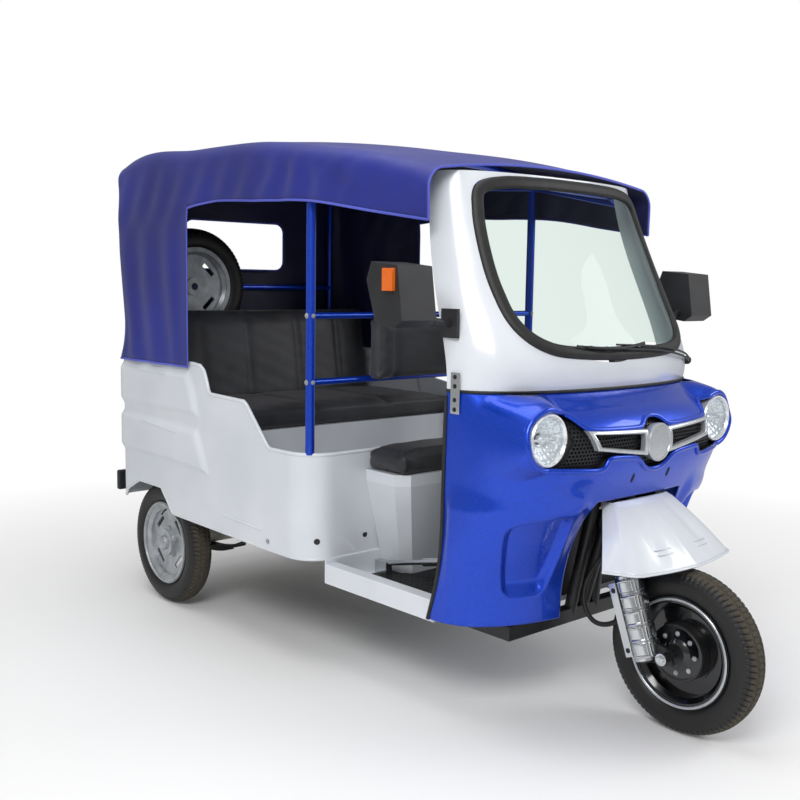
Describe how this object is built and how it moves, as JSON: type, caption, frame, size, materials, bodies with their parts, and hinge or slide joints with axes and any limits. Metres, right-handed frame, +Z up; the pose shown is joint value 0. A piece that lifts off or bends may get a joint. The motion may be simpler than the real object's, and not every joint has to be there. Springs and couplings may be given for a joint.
{
  "type": "electric tricycle",
  "caption": "Covered passenger electric tricycle with a steered front wheel, driver's cab, rear bench seat and fabric canopy.",
  "frame": {"origin": "on the ground, centred under the vehicle", "axes": "+Z up, -Y forwards, +X to the vehicle's left"},
  "size_m": [1.5646, 2.77, 1.856],
  "materials": {
    "black_paint": "semi-gloss",
    "blue_paint": "metallic gloss",
    "black_plastic": "textured",
    "silver_plastic": "satin silver",
    "lamp_bowl": "polished",
    "clear_lens": "clear",
    "white_gelcoat": "gloss gel coat",
    "black_rubber": "matte",
    "glass": "clear",
    "mirror": "polished",
    "amber_lens": "translucent",
    "seat_leather": "grained leatherette",
    "canopy_fabric": "coated cloth",
    "red_lens": "translucent",
    "cream_paint": "gloss",
    "chrome": "polished",
    "tyre": "moulded",
    "silver_paint": "satin",
    "black_rim_paint": "gloss"
  },
  "bodies": {
    "body": {"chassis_frame": "black_paint", "front_fascia": "blue_paint", "grille_panel": "black_plastic", "grille_trim": "silver_plastic", "headlights": "lamp_bowl", "headlight_lenses": "clear_lens", "windscreen_frame": "white_gelcoat", "windscreen_seal": "black_rubber", "windscreen_glass": "glass", "wiper": "black_plastic", "mirror_housings": "black_plastic", "mirror_glasses": "mirror", "mirror_indicators": "amber_lens", "dashboard": "black_plastic", "front_bulkhead": "black_paint", "driver_floor_tray": "white_gelcoat", "front_partition": "white_gelcoat", "side_panel_right": "white_gelcoat", "side_panel_left": "white_gelcoat", "rear_panel": "white_gelcoat", "passenger_floor": "black_paint", "seat_base": "white_gelcoat", "passenger_cushion": "seat_leather", "passenger_backrest": "seat_leather", "driver_seat_base": "white_gelcoat", "driver_cushion": "seat_leather", "driver_backrest": "seat_leather", "canopy_frame": "blue_paint", "canopy": "canopy_fabric", "rear_bumper": "black_paint", "tail_lights": "red_lens", "rear_axle": "cream_paint", "drive_motor": "black_paint", "leaf_springs": "black_paint", "battery_box": "black_plastic", "handbrake_lever": "chrome", "brake_pedal": "black_paint", "spare_tyre": "tyre", "spare_rim": "silver_paint"},
    "front_fork": {"front_fork": "black_paint", "fork_covers": "chrome", "handlebar": "black_paint", "handlebar_grips": "black_rubber", "front_fender": "white_gelcoat", "brake_hose": "black_rubber"},
    "front_wheel": {"front_tyre": "tyre", "front_rim": "black_rim_paint", "front_hub": "black_paint"},
    "rear_wheel_right": {"rear_tyre_right": "tyre", "rear_rim_right": "silver_paint"},
    "rear_wheel_left": {"rear_tyre_left": "tyre", "rear_rim_left": "silver_paint"}
  },
  "joints": [
    {"name": "steering", "type": "hinge", "parent": "body", "child": "front_fork", "pos_m": [0, -0.86573, 0.7975], "axis": [0, 0.342, 0.9397], "range_deg": [-25, 25]},
    {"name": "front_wheel_spin", "type": "hinge", "parent": "front_fork", "child": "front_wheel", "pos_m": [0, -1.135, 0.25], "axis": [1, 0, 0], "continuous": true},
    {"name": "rear_wheel_right_spin", "type": "hinge", "parent": "body", "child": "rear_wheel_right", "pos_m": [-0.525, 0.975, 0.25], "axis": [1, 0, 0], "continuous": true},
    {"name": "rear_wheel_left_spin", "type": "hinge", "parent": "body", "child": "rear_wheel_left", "pos_m": [0.525, 0.975, 0.25], "axis": [1, 0, 0], "continuous": true}
  ]
}
